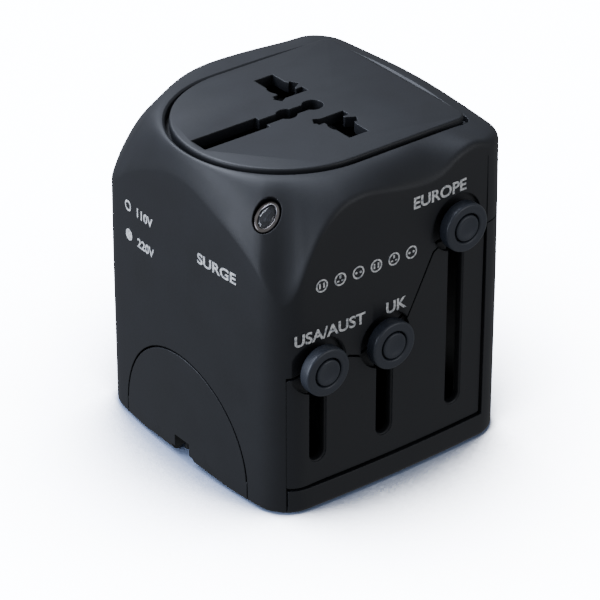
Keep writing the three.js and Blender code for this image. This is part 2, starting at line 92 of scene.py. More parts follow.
CARD_HALF = 900
CARD_RISE = 700
CARD_CURVE = 260
CARD_BACK = 520
CURVE_STEPS = 12
SHADOW_REACH, CARD_GLOW = 130, 16.0
AIR_STRENGTH = 0.32
card_rows = [(-CARD_HALF, 0.0), (CARD_BACK, 0.0)]
for step in range(1, CURVE_STEPS + 1):
    angle = step / CURVE_STEPS * math.pi / 2
    card_rows.append((CARD_BACK + CARD_CURVE * math.sin(angle), CARD_CURVE * (1 - math.cos(angle))))
card_rows.append((CARD_BACK + CARD_CURVE, CARD_CURVE + CARD_RISE))
card_points = [(x, y, z) for y, z in card_rows for x in (-CARD_HALF, CARD_HALF)]
card_faces = [(2 * i, 2 * i + 1, 2 * i + 3, 2 * i + 2) for i in range(len(card_rows) - 1)]
card = mesh_object("studio_card", card_points, card_faces)
card.data.transform(Matrix.Scale(MM, 4))
card.rotation_euler.z = math.radians(FACING)
card.data.shade_smooth()
card_material, tree, output = new_material("matt_white_card")
place = add_node(tree, "ShaderNodeTexCoord", {}, {})
fibre = add_node(tree, "ShaderNodeTexNoise", {"Scale": 900.0, "Detail": 3.0}, {
    "Vector": place.outputs["Object"]})
relief = add_node(tree, "ShaderNodeBump", {"Strength": 0.05, "Distance": 0.1 * MM}, {
    "Height": fibre.outputs["Fac"]})
# Painted contact shadow: ambient occlusion dims the card's glow near the adapter.
painted_shadow_occlusion = add_node(tree, "ShaderNodeAmbientOcclusion", {"samples": 16, "Distance": SHADOW_REACH * MM}, {})
glow_cut_by_painted_shadow = add_node(tree, "ShaderNodeMapRange", {
    "interpolation_type": "SMOOTHSTEP",
    "From Min": 0.52, "From Max": 0.985, "To Min": 0.0, "To Max": CARD_GLOW,
}, {"Value": painted_shadow_occlusion.outputs["AO"]})
# The blue base colour, lit by the lamps, tints the painted contact shadow blue.
paper = add_node(tree, "ShaderNodeBsdfPrincipled", {
    "Base Color": linear("#9FB0D2"), "Roughness": 0.85, "Specular IOR Level": 0.2,
    "Emission Color": linear("#F2F6FF"),
}, {"Normal": relief.outputs["Normal"], "Emission Strength": glow_cut_by_painted_shadow.outputs["Result"]})
tree.links.new(paper.outputs[0], output.inputs["Surface"])
card.data.materials.append(card_material)
card.visible_glossy = card.visible_diffuse = False

world = bpy.data.worlds.new("studio_air")
world.use_nodes = True
world.node_tree.nodes["Background"].inputs["Color"].default_value = linear("#F2F5FA")
world.node_tree.nodes["Background"].inputs["Strength"].default_value = AIR_STRENGTH
bpy.context.scene.world = world

SOFT_BOXES = [
    # name, place (mm), aim (mm), width, height (mm), watts, colour
    ("overhead_box", (-140, 330, 600), (0, 0, 40), 560, 420, 9.0, "#E6EEFF"),
    ("left_panel", (-640, 120, 200), (0, 0, 30), 460, 420, 3.9, "#E6EEFF"),
    ("front_panel", (260, -640, 200), (0, 0, 30), 420, 420, 1.0, "#F4F7FF"),
]
for name, spot, aim, width, height, watts, colour in SOFT_BOXES:
    light = bpy.data.lights.new(name, "AREA")
    light.shape = "RECTANGLE"
    light.size, light.size_y = width * MM, height * MM
    light.energy = watts
    light.color = linear(colour)[:3]
    holder = bpy.data.objects.new(name, light)
    holder.location = Vector(spot) * MM
    holder.rotation_euler = (Vector(aim) - Vector(spot)).to_track_quat("-Z", "Y").to_euler()
    bpy.context.scene.collection.objects.link(holder)


# ---- Camera ----
# A long lens on a tripod, looking down on the front left corner of the adapter from about 30 degrees.

AZIMUTH, ELEVATION = math.radians(FACING), math.radians(30.02)
LENS = 193.2
SENSOR = 36.0
DISTANCE = 630.6
ORBIT_CENTRE = Vector((0, 0, 33.3))
AIM_RIGHT, AIM_UP = -0.63, -6.69
back = Vector((
    math.sin(AZIMUTH) * math.cos(ELEVATION), -math.cos(AZIMUTH) * math.cos(ELEVATION), math.sin(ELEVATION),
))
right = Vector((-back.y, back.x, 0)).normalized()
up = back.cross(right)
lens = bpy.data.cameras.new("long_lens")
lens.lens, lens.sensor_width = LENS, SENSOR
lens.clip_start, lens.clip_end = 0.05, 10.0
camera = bpy.data.objects.new("camera", lens)
eye = ORBIT_CENTRE + back * DISTANCE
target = ORBIT_CENTRE + right * AIM_RIGHT + up * AIM_UP
camera.location = eye * MM
camera.rotation_euler = (target - eye).to_track_quat("-Z", "Y").to_euler()
bpy.context.scene.collection.objects.link(camera)
bpy.context.scene.camera = camera


# ---- Casing: hood and tray ----
# Two injection-moulded ABS shells, black through and through, pressed in a steel tool with a fine
# spark-eroded grain and then screwed together from below. The grain breaks up the shine. The outer edges
# are painted a lighter grey in patches: a painted highlight, along with a little wear from handling.

HALF = 30.0
CORNER = 6.5
SIDE_BOW, FRONT_BOW = 2.4, 1.0
HEIGHT = 68.0
WALL, FLOOR, FOOT = 2.0, 2.2, 1.4
SEAM, GAP = 48.5, 0.3
RIM = 67.5
DRAFT, DRAFT_FROM = 0.5, 30.0
LEFT, RIGHT, SILL = -25.2, 21.5, 5.6
PLATE_X, PLATE_RADIUS, PLATE_RIGHT, PLATE_CORNER = -5.0, 21.5, 23.0, 2.5
RIM_LEDGE = 1.4
# Along half the plan, from the middle of the left wall: distance, crease height, crease radius.
LEFT_CREASE = [
    (-6, 62.5, 1.0), (0, 63.4, 1.0), (5, 62.8, 1.0), (10, 60.9, 1.0), (14.5, 58.9, 1.0), (19, 56.4, 1.0),
]
RIGHT_CREASE = [(82, 65.8, 1.7), (92, 65.3, 1.8), (115, 65.2, 1.8), (121, 65.2, 1.8)]
FRONT_CREASE = LEFT_CREASE + [
    (23.5, 53.0, 1.0), (26.3, 49.4, 1.1), (28.8, 47.2, 1.2), (31, 48.8, 1.1), (33.0, 52.6, 1.0),
    (36.9, 59.3, 0.9), (40, 62.4, 0.9), (43.5, 64.3, 0.9), (48, 64.9, 0.8), (51, 64.6, 0.8),
    (57, 63.5, 0.8), (62, 62.8, 0.8), (66, 62.7, 0.8), (69, 63.5, 0.9), (72, 65.2, 1.0), (75, 66.3, 1.2),
    (78, 66.7, 1.4),
] + RIGHT_CREASE
BACK_CREASE = LEFT_CREASE + [
    (23.5, 53.2, 1.2), (28.8, 51.8, 1.5), (33, 54.6, 1.5), (37, 58.2, 1.6), (42.4, 62.3, 1.7),
    (47.6, 65.2, 1.8), (52, 66.4, 1.8), (57, 66.8, 1.8), (66, 66.5, 1.8), (76, 65.9, 1.8),
] + RIGHT_CREASE
CORNER_STEPS, WALL_STEPS, FOOT_STEPS = 10, 26, 6
CREASE_STEPS, SHOULDER_STEPS, SHOULDER_FALL = 8, 10, 1.9
CAVITY_CREASE, WIDEST_CREASE = 0.4, 0.45
# Cutters start this far out, clear of every wall.
FAR = 40


def along_curve(table, distance):
    """A smooth curve through a table's rows, read at a distance."""
    k = max(i for i in range(1, len(table) - 2) if table[i][0] <= distance or i == 1)
    rows = table[k - 1:k + 3]
    span = rows[2][0] - rows[1][0]
    t = min(max((distance - rows[1][0]) / span, 0), 1)
    found = []
    for j in range(1, len(rows[0])):
        before, a, b, after = (r[j] for r in rows)
        m0 = (b - before) / (rows[2][0] - rows[0][0]) * span
        m1 = (after - a) / (rows[3][0] - rows[1][0]) * span
        found.append(
            (2 * t ** 3 - 3 * t ** 2 + 1) * a + (t ** 3 - 2 * t ** 2 + t) * m0
            + (3 * t ** 2 - 2 * t ** 3) * b + (t ** 3 - t ** 2) * m1
        )
    return found


def casing_plan(inset):
    """Rounded square with swollen sides: (x, y, distance from the middle of the left wall)."""
    side = HALF - inset
    radius = CORNER - min(inset, CORNER - 1)
    flat = side - radius
    turn = radius * math.pi / 2
    half_plan = []
    for i in range(WALL_STEPS // 2):
        along = flat * 2 * i / WALL_STEPS
        half_plan.append((-side, -along, along))
    for i in range(CORNER_STEPS):
        a = i / CORNER_STEPS * math.pi / 2
        along = flat + turn * i / CORNER_STEPS
        half_plan.append((-flat - radius * math.cos(a), -flat - radius * math.sin(a), along))
    for i in range(WALL_STEPS):
        along = flat + turn + 2 * flat * i / WALL_STEPS
        half_plan.append((-flat + 2 * flat * i / WALL_STEPS, -side, along))
    for i in range(CORNER_STEPS):
        a = i / CORNER_STEPS * math.pi / 2
        along = 3 * flat + turn + turn * i / CORNER_STEPS
        half_plan.append((flat + radius * math.sin(a), -flat - radius * math.cos(a), along))
    for i in range(WALL_STEPS // 2 + 1):
        along = 3 * flat + 2 * turn + flat * 2 * i / WALL_STEPS
        half_plan.append((side, -flat * (1 - 2 * i / WALL_STEPS), along))
    whole = half_plan + [(x, -y, d) for x, y, d in reversed(half_plan[1:-1])]
    return [(
        x * (1 - SIDE_BOW / HALF * (y / HALF) ** 2), y * (1 - FRONT_BOW / HALF * (x / HALF) ** 2), d,
    ) for x, y, d in whole]


def flat_plan(inset):
    """The casing's plan as an outline only."""
    return [(x, y) for x, y, _ in casing_plan(inset)]


def front_wall(x, inset=0.0):
    """Y of the front wall at x."""
    return -(HALF - inset) * (1 - FRONT_BOW / HALF * (x / HALF) ** 2)


def left_wall(y, inset=0.0):
    """X of the left wall at y."""
    return -(HALF - inset) * (1 - SIDE_BOW / HALF * (y / HALF) ** 2)


def plate_plan(grow):
    """D-shaped plan of the socket plate, grown by grow."""
    steps, corner_steps = 40, 6
    radius, edge = PLATE_RADIUS + grow, PLATE_RIGHT + grow
    points = []
    for i in range(steps + 1):
        a = math.radians(90 + 180 * i / steps)
        points.append((PLATE_X + radius * math.cos(a), radius * math.sin(a)))
    for sign, start in ((-1, 270), (1, 0)):
        for i in range(corner_steps + 1):
            a = math.radians(start + 90 * i / corner_steps)
            points.append((
                edge - PLATE_CORNER + PLATE_CORNER * math.cos(a),
                sign * (radius - PLATE_CORNER) + PLATE_CORNER * math.sin(a),
            ))
    return points


def rim_point(x, y, shrink):
    """Where the shoulder above a point of the plan leaves the socket plate."""
    radius = PLATE_RADIUS + RIM_LEDGE - shrink
    spine = min(max(x, PLATE_X), PLATE_RIGHT + RIM_LEDGE - radius)
    length = math.hypot(x - spine, y)
    return spine + (x - spine) * radius / length, y * radius / length


def loft(name, rings):
    """A closed skin over rings of equal count, capped at both ends."""
    count = len(rings[0])
    points = [p for ring in rings for p in ring]
    faces = [tuple(reversed(range(count)))]
    for r in range(len(rings) - 1):
        for i in range(count):
            j = (i + 1) % count
            faces.append((r * count + i, r * count + j, (r + 1) * count + j, (r + 1) * count + i))
    faces.append(tuple(range((len(rings) - 1) * count, len(rings) * count)))
    return mesh_object(name, points, faces)


def casing_skin(name, inset, drop, bottom, foot, rows=14):
    """The casing as one closed body, drawn in by inset, with its shoulder lowered by drop."""
    rings = []
    for i in range(FOOT_STEPS + 1 if foot else 1):
        a = (i / FOOT_STEPS if foot else 1) * math.pi / 2
        plan = casing_plan(inset + foot * (1 - math.sin(a)))
        rings.append([(x, y, bottom + foot * (1 - math.cos(a))) for x, y, _ in plan])
    plan = casing_plan(inset)
    drafted = casing_plan(inset + DRAFT)
    columns = []
    for (x, y, d), (dx, dy, _) in zip(plan, drafted):
        crease, radius = along_curve(BACK_CREASE if y > 0 else FRONT_CREASE, d)
        crease = crease - drop
        radius = radius if drop == 0 else CAVITY_CREASE
        rx, ry = rim_point(x, y, inset / 2)
        reach = math.hypot(dx - rx, dy - ry)

        def shoulder(t):
            fall = (RIM - drop - crease) * t ** SHOULDER_FALL
            return Vector((rx + (dx - rx) * t, ry + (dy - ry) * t, RIM - drop - fall))

        def wall(z):
            lean = min(max((z - DRAFT_FROM) / (RIM - DRAFT_FROM), 0), 1) ** 1.5
            return Vector((x + (dx - x) * lean, y + (dy - y) * lean, z))

        climb = crease - radius - bottom - foot
        column = [wall(bottom + foot + climb * i / rows) for i in range(1, rows + 1)]
        first = 1 - min(radius / reach, WIDEST_CREASE)
        start, top, end = column[-1], wall(crease), shoulder(first)
        for i in range(1, CREASE_STEPS):
            t = i / CREASE_STEPS
            column.append(start * (1 - t) ** 2 + top * 2 * t * (1 - t) + end * t ** 2)
        column += [shoulder(first * (1 - i / SHOULDER_STEPS)) for i in range(SHOULDER_STEPS + 1)]
        columns.append(column)
    rings += [[column[i] for column in columns] for i in range(len(columns[0]))]
    return loft(name, rings)


def grown(points, distance):
    """An anticlockwise outline with every edge moved outwards by distance."""
    found = []
    for i, (x, y) in enumerate(points):
        (x0, y0), (x1, y1) = points[i - 1], points[(i + 1) % len(points)]
        a, b = math.hypot(x - x0, y - y0), math.hypot(x1 - x, y1 - y)
        n0, n1 = ((y - y0) / a, (x0 - x) / a), ((y1 - y) / b, (x - x1) / b)
        scale = distance / (1 + n0[0] * n1[0] + n0[1] * n1[1])
        found.append((x + (n0[0] + n1[0]) * scale, y + (n0[1] + n1[1]) * scale))
    return found


def rounded(points, radius, steps=5):
    """An outline with every corner rounded to a radius."""
    found = []
    for i, p in enumerate(points):
        here, before, after = Vector(p), Vector(points[i - 1]), Vector(points[(i + 1) % len(points)])
        most = 0.45
        cut = min(radius, (before - here).length * most, (after - here).length * most)
        a, b = here + (before - here).normalized() * cut, here + (after - here).normalized() * cut
        for k in range(steps + 1):
            t = k / steps
            found.append(tuple(a * (1 - t) ** 2 + here * 2 * t * (1 - t) + b * t ** 2))
    return found


def prism(name, outline, axis, levels):
    """An anticlockwise outline run along an axis; levels are (grow, place along the axis)."""
    turned = {
        "Z": lambda u, v, w: (u, v, w),
        "Y": lambda u, v, w: (u, w, v),
        "X": lambda u, v, w: (w, u, v),
    }[axis]
    rings = [[turned(u, v, w) for u, v in (grown(outline, g) if g else outline)] for g, w in levels]
    if axis == "Y":
        rings = [list(reversed(ring)) for ring in rings]
    return loft(name, rings)


def block(x0, x1, y0, y1, z0, z1):
    """A cutter with square corners."""
    return prism("cutter", [(x0, y0), (x1, y0), (x1, y1), (x0, y1)], "Z", [(0, z0), (0, z1)])


def circle(x, y, radius, steps=32):
    """A round outline, anticlockwise."""
    turns = [2 * math.pi * i / steps for i in range(steps)]
    return [(x + radius * math.cos(a), y + radius * math.sin(a)) for a in turns]


def rod(axis, u, v, radius, w0, w1, steps=32):
    """A round cutter or post along an axis; u and v are the other two coordinates in order."""
    return prism("cutter", circle(u, v, radius, steps), axis, [(0, w0), (0, w1)])


def combine(first, *steps):
    """Joins, cuts or keeps parts of the first body with others, which are used up."""
    for operation, others in steps:
        for other in others:
            use = first.modifiers.new("part", "BOOLEAN")
            use.operation, use.object, use.solver = operation, other, "MANIFOLD"
    shaped = bpy.data.meshes.new_from_object(first.evaluated_get(bpy.context.evaluated_depsgraph_get()))
    first.modifiers.clear()
    old, first.data = first.data, shaped
    bpy.data.meshes.remove(old)
    for _, others in steps:
        for other in others:
            bpy.data.objects.remove(other)
    return first


def copy_of(body):
    """A second body with a mesh of its own."""
    twin = body.copy()
    twin.data = body.data.copy()
    bpy.context.scene.collection.objects.link(twin)
    return twin


def finish_piece(piece, name, body, slot_name, material, *replaced, sharp=32):
    """Millimetres to metres, smooth between sharp edges, and tied to its body and CAD nodes; slot_name is not
    used.
    """
    piece.name = piece.data.name = name
    piece.data.transform(Matrix.Scale(MM, 4))
    piece.data.materials.clear()
    piece.data.materials.append(material)
    piece.data.shade_smooth()
    piece.data.set_sharp_from_angle(angle=math.radians(sharp))
    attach(piece, body)
    if replaced:
        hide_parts(*replaced)


PATCH_MM = 9


def moulded_plastic(name, colour, edge_sheen_and_wear, grain_mm, roughness, ior, edge_mm):
    """A moulded plastic: spark-eroded grain, patchy shine, slight mottling, edges rounded and painted lighter
    in patches (painted highlight along with wear).
    """
    made, tree, output = new_material(name)
    place = add_node(tree, "ShaderNodeTexCoord", {}, {})
    at = {"Vector": place.outputs["Object"]}
    grain = add_node(tree, "ShaderNodeTexNoise", {
        "Scale": 1 / (grain_mm * MM), "Detail": 3.0, "Roughness": 0.6}, at)
    patches = add_node(tree, "ShaderNodeTexNoise", {
        "Scale": 1 / (PATCH_MM * MM), "Detail": 4.0, "Roughness": 0.55}, at)
    pits = add_node(tree, "ShaderNodeTexVoronoi", {"Scale": 1 / (grain_mm * 1.7 * MM)}, at)
    soft = add_node(tree, "ShaderNodeBevel", {"samples": 6, "Radius": edge_mm * MM}, {})
    plain = add_node(tree, "ShaderNodeNewGeometry", {}, {})
    match = add_node(tree, "ShaderNodeVectorMath", {"operation": "DOT_PRODUCT"}, {
        0: soft.outputs["Normal"], 1: plain.outputs["Normal"]})
    # Painted edge highlight: edges are mixed towards a lighter colour in patches, for light on the rounded
    # edges as well as wear.
    edge = add_node(tree, "ShaderNodeMapRange", {"From Min": 0.99, "From Max": 0.75, "To Max": 0.8}, {
        "Value": match.outputs["Value"]})
    sheen_and_wear_mask = add_node(tree, "ShaderNodeMath", {"operation": "MULTIPLY"}, {
        0: edge.outputs["Result"], 1: patches.outputs["Fac"]})
    mottle = add_node(tree, "ShaderNodeMapRange", {
        "From Min": 0.3, "From Max": 0.7, "To Min": 0.92, "To Max": 1.08,
    }, {"Value": patches.outputs["Fac"]})
    tone = add_node(tree, "ShaderNodeMix", {"data_type": "RGBA", "blend_type": "MIX", 6: colour, 7: edge_sheen_and_wear}, {
        0: sheen_and_wear_mask.outputs["Value"]})
    shade = add_node(tree, "ShaderNodeVectorMath", {"operation": "SCALE"}, {
        0: tone.outputs[2], "Scale": mottle.outputs["Result"]})
    shine = add_node(tree, "ShaderNodeMapRange", {
        "From Min": 0.3, "From Max": 0.7, "To Min": roughness - 0.03, "To Max": roughness + 0.04,
    }, {"Value": patches.outputs["Fac"]})
    depth = add_node(tree, "ShaderNodeMath", {"operation": "MULTIPLY_ADD", 1: 0.5}, {
        0: pits.outputs["Distance"], 2: grain.outputs["Fac"]})
    relief = add_node(tree, "ShaderNodeBump", {"Strength": 0.35, "Distance": 0.02 * MM}, {
        "Height": depth.outputs["Value"], "Normal": soft.outputs["Normal"]})
    surface = add_node(tree, "ShaderNodeBsdfPrincipled", {"IOR": ior}, {
        "Base Color": shade.outputs["Vector"], "Roughness": shine.outputs["Result"],
        "Normal": relief.outputs["Normal"]})
    tree.links.new(surface.outputs[0], output.inputs["Surface"])
    return made


# The grain is about 0.4 mm across, a little coarser than the tool's, so that it shows.
# Its second colour is the lighter edge tone: a painted highlight along with wear.
casing_abs = moulded_plastic(
    "moulded_black_abs", linear("#0C0F15"), linear("#242931"), 0.4, 0.54, 1.54, 0.25)

US_X, UK_X, EU_X = -19.1, -3.3, 14.0
SLIDERS = [(US_X, 31.9, 19.3), (UK_X, 31.9, 19.3), (EU_X, 51.4, 38.6)]
SLOT_HALF, SLOT_FACE, SLOT_INNER = 1.7, 0.6, -25
POCKET_RADIUS, POCKET_FLOOR = 6.0, -28.4
PIN_NOTCH = 2.35
PANEL = [
    (LEFT, SILL), (RIGHT, SILL), (RIGHT, SEAM - 0.4), (10.2, SEAM - 0.4), (8.1, 47.0),
    (1.8, 34.8), (-8.2, 30.2), (-12.0, 31.6), (LEFT, 30.4),
]
LOWER_SHARE = [
    (LEFT, -2), (FAR + 10, -2), (FAR + 10, SEAM - GAP / 2), (RIGHT + GAP, SEAM - GAP / 2),
    (RIGHT + GAP, SILL - GAP), (LEFT, SILL - GAP),
]
BOSS_X, BOSS_Y, BOSS_RADIUS, BOSS_BORE, BOSS_TOP = 24.3, 23, 2.5, 1.7, 35
BOSSES = [(-BOSS_X, -BOSS_Y), (BOSS_X, -BOSS_Y), (BOSS_X, BOSS_Y), (-BOSS_X, BOSS_Y)]
FLAP_AXIS = (-27.6, 2.4)
FLAP_HALF, FLAP_SPRING, FLAP_TOP = 19.7, 2.9, 23.8


def slot_outline(x, top, travel):
    """A stem's slot with round ends in X and Z, anticlockwise."""
    points = []
    for start, z in ((math.pi, top - travel - 0.1), (0, top)):
        for i in range(13):
            a = start + math.pi * i / 12
            points.append((x + SLOT_HALF * math.cos(a), z + SLOT_HALF * math.sin(a)))
    return points


def slot_cutters():
    """The stems' slots, flared a little where they meet the panel."""
    made = []
    for x, top, travel in SLIDERS:
        face = front_wall(x, SLOT_FACE)
        made.append(prism("cutter", slot_outline(x, top, travel), "Y", [
            (0.35, -FAR), (0.35, face - 0.02), (0.12, face + 0.12), (0, face + 0.4), (0, SLOT_INNER)]))
    return made


def pocket_cutters():
    """Round pockets that the knobs stand in at the top of their slots."""
    return [prism("cutter", circle(x, top, POCKET_RADIUS, 48), "Y", [
        (0.3, -FAR), (0.3, front_wall(x) - 0.02), (0.1, front_wall(x) + 0.1), (0, front_wall(x) + 0.35),
        (0, POCKET_FLOOR)]) for x, top, _ in SLIDERS]


def arch_outline(grow):
    """The arch of the flap, seen along X, open at the base."""
    half, rise, steps = FLAP_HALF + grow, FLAP_TOP - FLAP_SPRING + grow, 40
    points = [(-half, -2 * grow)]
    for i in range(steps + 1):
        a = math.pi - i * math.pi / steps
        points.append((half * math.cos(a), FLAP_SPRING + rise * math.sin(a)))
    points.append((half, -2 * grow))
    return list(reversed(points))


LENS_CENTRE = Vector((-24.0, -20.2, 61.4))
LENS_AWAY = Vector((-0.47, -0.55, 0.69)).normalized()
LENS_ACROSS = Vector((LENS_AWAY.y, -LENS_AWAY.x, 0)).normalized()
LENS_LEAN = math.radians(-25)
LENS_TURN = Matrix((LENS_ACROSS.cross(LENS_AWAY), LENS_ACROSS, LENS_AWAY)).transposed().to_4x4()
LENS_TURN = LENS_TURN @ Matrix.Rotation(LENS_LEAN, 4, "Z")


def oval(name, long, short, levels):
    """An oval body square to the front left shoulder; levels are (grow, height above it)."""
    outline = [(long * x, short * y) for x, y in circle(0, 0, 1, 48)]
    made = prism(name, outline, "Z", levels)
    made.data.transform(Matrix.Translation(LENS_CENTRE) @ LENS_TURN)
    return made


ROOF = 3
PLATE_GROOVE, PLATE_LEDGE, PLATE_SEAT = 0.75, 1.6, 65.5
FLAP_SEAT, CHANNEL_HALF, CHANNEL_TOP = -26.3, 3.2, 9.9
BLADE_AT, BLADE_LONG, BLADE_THICK = 6.35, 3.45, 1.05
SQUARE_PIN_AT, SQUARE_PIN_HALF = 11.115, 3.5
outer = casing_skin("outer", 0, 0, 0, FOOT)
cavity = casing_skin("cavity", WALL, ROOF, FLOOR, 0, rows=4)
shell = combine(outer, ("DIFFERENCE", [cavity]))

hood = combine(
    copy_of(shell),
    ("DIFFERENCE", [
        prism("cutter", grown(LOWER_SHARE, GAP), "Y", [(0, -FAR), (0, FAR)]),
        prism("cutter", flat_plan(WALL), "Z", [(0, -1), (0, FLOOR + 1)]),
        prism("cutter", grown(PANEL, GAP), "Y", [(0, -FAR), (0, SLOT_INNER)]),
        prism("cutter", arch_outline(GAP), "X", [(0, -FAR), (0, FLAP_SEAT)]),
        prism("cutter", plate_plan(PLATE_GROOVE), "Z", [
            (0, PLATE_SEAT), (0, RIM - 0.7), (0.15, RIM - 0.3), (0.55, RIM), (0.55, 80)]),
        prism("cutter", plate_plan(-PLATE_LEDGE), "Z", [(0, 50), (0, 66)]),
        block(RIGHT, RIGHT + GAP, -FAR, -28.9, SEAM - 1, 63),
        oval("cutter", 3.3, 2.3, [(0, -6), (0, -0.6), (0.2, 0.1), (0.3, 6)]),
    ] + slot_cutters() + pocket_cutters()),
)
finish_piece(hood, "casing_hood", "casing", "casing_plastic", casing_abs, "upper_casing")

tray = combine(
    shell,
    ("INTERSECT", [prism("cutter", LOWER_SHARE, "Y", [(0, -FAR), (0, FAR)])]),
    ("UNION", [prism("cutter", flat_plan(WALL + GAP), "Z", [(0, 0), (0, FLOOR)])]),
    ("DIFFERENCE", [block(-FAR, -24.6, -22, 22, -1, 10)]),
    ("UNION", [rod("Z", x, y, BOSS_RADIUS, 0.5, BOSS_TOP) for x, y in BOSSES] + [
        block(-27.0, 2, -CHANNEL_HALF, CHANNEL_HALF, 0.01, CHANNEL_TOP)]),
)
pin_slots = []
blade_slots = []
for side in (-1, 1):
    y = side * SQUARE_PIN_AT
    pin_slots.append(block(
        UK_X - PIN_NOTCH, UK_X + PIN_NOTCH, y - SQUARE_PIN_HALF, y + SQUARE_PIN_HALF, -1, 4))
    for turn in (0, 10, 20, 30):
        blade = block(-BLADE_LONG, BLADE_LONG, -BLADE_THICK, BLADE_THICK, -4, 4)
        twist = Matrix.Rotation(math.radians(side * turn), 4, "Z")
        blade.data.transform(Matrix.Translation((US_X, side * BLADE_AT, 0)) @ twist)
        blade_slots.append(blade)
NECK = [
    (6.85, -9.5), (6.85, 9.5), (2.8, 17.65), (-2.8, 17.65),
    (-6.85, 9.5), (-6.85, -9.5), (-2.8, -17.65), (2.8, -17.65),
]
neck_outline = rounded([(EU_X + x, y) for x, y in NECK], 1.2)
tray = combine(
    tray,
    ("DIFFERENCE", slot_cutters() + pocket_cutters() + pin_slots + blade_slots + [
        prism("cutter", grown(PANEL, GAP), "Y", [(0, -FAR), (0, SLOT_INNER)]),
        prism("cutter", grown(neck_outline, 0.35), "Z", [(0.4, -1), (0.4, 0), (0, 0.5), (0, 4)]),
        block(-FAR, 1.9, -PIN_NOTCH, PIN_NOTCH, -1, 8.7),
        rod("Y", -25.53, 4.3, 1.3, -5, 5),
    ] + [rod("Z", x, y, BOSS_BORE, -1, BOSS_TOP - 1) for x, y in BOSSES]),
)
finish_piece(tray, "casing_tray", "casing", "casing_plastic", casing_abs, "lower_casing")


# ---- Slider panel ----
# A separate moulded ABS plate set 0.35 mm below the wall and brought flush with it towards the left,
# with the three slots that the knobs ride in. It drops in before the shells are closed.

PANEL_RECESS, PANEL_PLAY = 0.35, 0.35
PANEL_LEFT = LEFT - 0.25
FLUSH_FROM, FLUSH_RUN = -17, 8
panel_edge = grown(PANEL, -PANEL_PLAY)
for corner in (0, -1):
    panel_edge[corner] = (PANEL_LEFT, panel_edge[corner][1])
panel_plan = []
for x, y, _ in casing_plan(PANEL_RECESS):
    flush = min(max((FLUSH_FROM - x) / FLUSH_RUN, 0), 1)
    panel_plan.append((x, y - (PANEL_RECESS - 0.03) * flush ** 2 * (3 - 2 * flush) if y < 0 else y))
panel = combine(
    prism("panel", panel_plan, "Z", [(0, 0), (0, 60)]),
    ("DIFFERENCE", [prism("cutter", flat_plan(WALL), "Z", [(0, -1), (0, 61)])]),
    ("INTERSECT", [prism("cutter", rounded(panel_edge, 0.5, 3), "Y", [(0, -FAR), (0, -20)])]),
    ("DIFFERENCE", slot_cutters() + pocket_cutters()),
)
finish_piece(panel, "front_panel_plate", "casing", "casing_plastic", casing_abs, "slider_panel")


# ---- Socket plate ----
# The D-shaped ABS plate that closes the top, flush with the hood across a narrow groove. Its openings
# take flat, round and rectangular pins, so each is a cross of overlapping slots.

SOCKET_X, EARTH_TO_LINE = 1.7, 22.23
UPRIGHT_FROM, UPRIGHT_LONG, UPRIGHT_HALF = 5.6, 9.3, 2.25
FLAT_FROM, FLAT_LONG, FLAT_HALF = 5.4, 1.9, 3.6
THROUGH = (60, 70)
plate = prism("plate", plate_plan(0), "Z", [
    (0, HEIGHT - 2.2), (0, HEIGHT - 0.45), (-0.06, HEIGHT - 0.22), (-0.2, HEIGHT - 0.07), (-0.45, HEIGHT)])
openings = []
for side in (-1, 1):
    for start, long, half in (
        (UPRIGHT_FROM, UPRIGHT_LONG, UPRIGHT_HALF), (FLAT_FROM, FLAT_LONG, FLAT_HALF),
    ):
        low = start if side > 0 else -start - long
        openings.append(block(SOCKET_X - half, SOCKET_X + half, low, low + long, *THROUGH))
    openings.append(rod("Z", SOCKET_X, side * 9.5, 2.7, *THROUGH))
    slanted = block(-4.2, 4.2, -0.95, 0.95, -6, 6)
    twist = Matrix.Rotation(math.radians(side * 30), 4, "Z")
    slanted.data.transform(Matrix.Translation((SOCKET_X, side * 7.6, 64)) @ twist)
    openings.append(slanted)
earth_x = SOCKET_X - EARTH_TO_LINE
openings += [
    block(earth_x - 4.3, -9.6, -2.3, 2.3, *THROUGH), block(-10, 3, -1.2, 1.2, *THROUGH),
    rod("Z", -4.0, 0, 2.1, *THROUGH), rod("Z", 2.2, 0, 2.1, *THROUGH),
]
plate = combine(
    plate, ("UNION", [block(17.8, 20.4, -3, 3, 60.9, HEIGHT - 1)]), ("DIFFERENCE", openings))
finish_piece(plate, "top_socket_plate", "casing", "casing_plastic", casing_abs, "socket_plate")


# ---- Arched flap ----
# An ABS leaf on the left side, curved with the wall and hinged on two steel pins in its lower edge. It
# swings down to widen the base. A notch lets the earth pin out.

FLAP_THICK = 1.9
flap = combine(
    prism("flap", flat_plan(0), "Z", [(0, FLAP_AXIS[1]), (0, 30)]),
    ("DIFFERENCE", [prism("cutter", flat_plan(FLAP_THICK), "Z", [(0, 0), (0, 31)])]),
    ("INTERSECT", [prism("cutter", arch_outline(-0.15), "X", [(0, -FAR), (0, -20)])]),
    ("UNION", [rod("Y", *FLAP_AXIS, FLAP_AXIS[1], -FLAP_HALF, FLAP_HALF)]),
    ("DIFFERENCE", [block(-28.1, -20, -4.2, 4.2, -1, 10)]),
    ("INTERSECT", [casing_skin("whole", 0, 0, 0, FOOT)]),
    ("DIFFERENCE", [
        block(-FAR, -20, -PIN_NOTCH, PIN_NOTCH, -1, 4.7), block(-28.9, -20, -PIN_NOTCH, PIN_NOTCH, -1, 6.8),
        block(-FAR, -20, -3.5, 3.5, -1, FLAP_AXIS[1] - 0.4), rod("Y", *FLAP_AXIS, 0.9, -22.2, 22.2, 16),
    ]),
)
finish_piece(flap, "side_flap_leaf", "flap", "casing_plastic", casing_abs, "base_flap")


